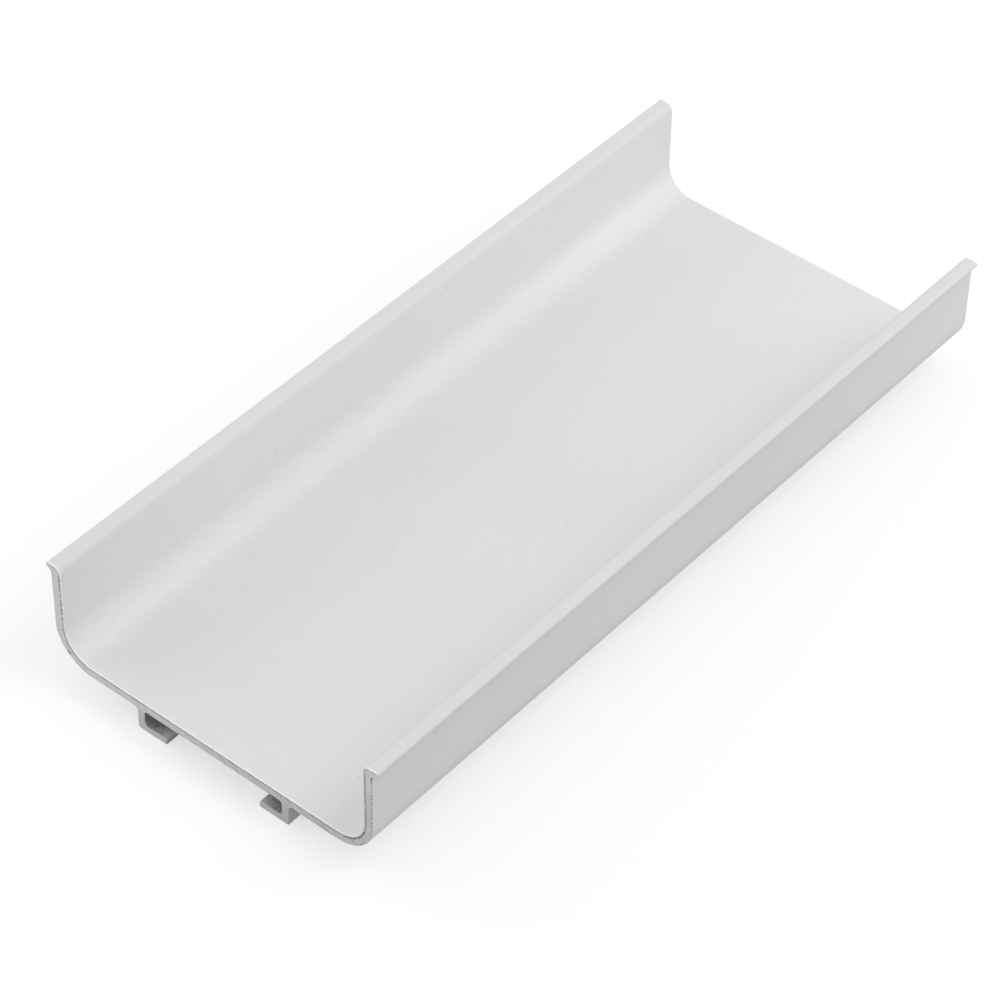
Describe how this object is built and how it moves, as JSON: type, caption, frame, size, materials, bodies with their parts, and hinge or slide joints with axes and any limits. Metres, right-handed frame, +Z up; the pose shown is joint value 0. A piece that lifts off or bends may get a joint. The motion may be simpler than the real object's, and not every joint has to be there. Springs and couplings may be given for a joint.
{
  "type": "aluminium handle profile",
  "caption": "Short sawn length of a C-shaped lacquered aluminium handle profile, open side up, with outturned lips on the flanges and inward hooks under the web for a clip bracket.",
  "frame": {"origin": "mid width and mid length of the sample, on the level floor under the hooks' feet", "axes": "+X across the section from flange to flange, +Y along the extrusion, +Z up out of the channel's open side"},
  "size_m": [0.073, 0.164, 0.0264],
  "materials": {
    "lacquer": "matte"
  },
  "bodies": {
    "root": {"handle_profile": "lacquer"}
  },
  "joints": []
}
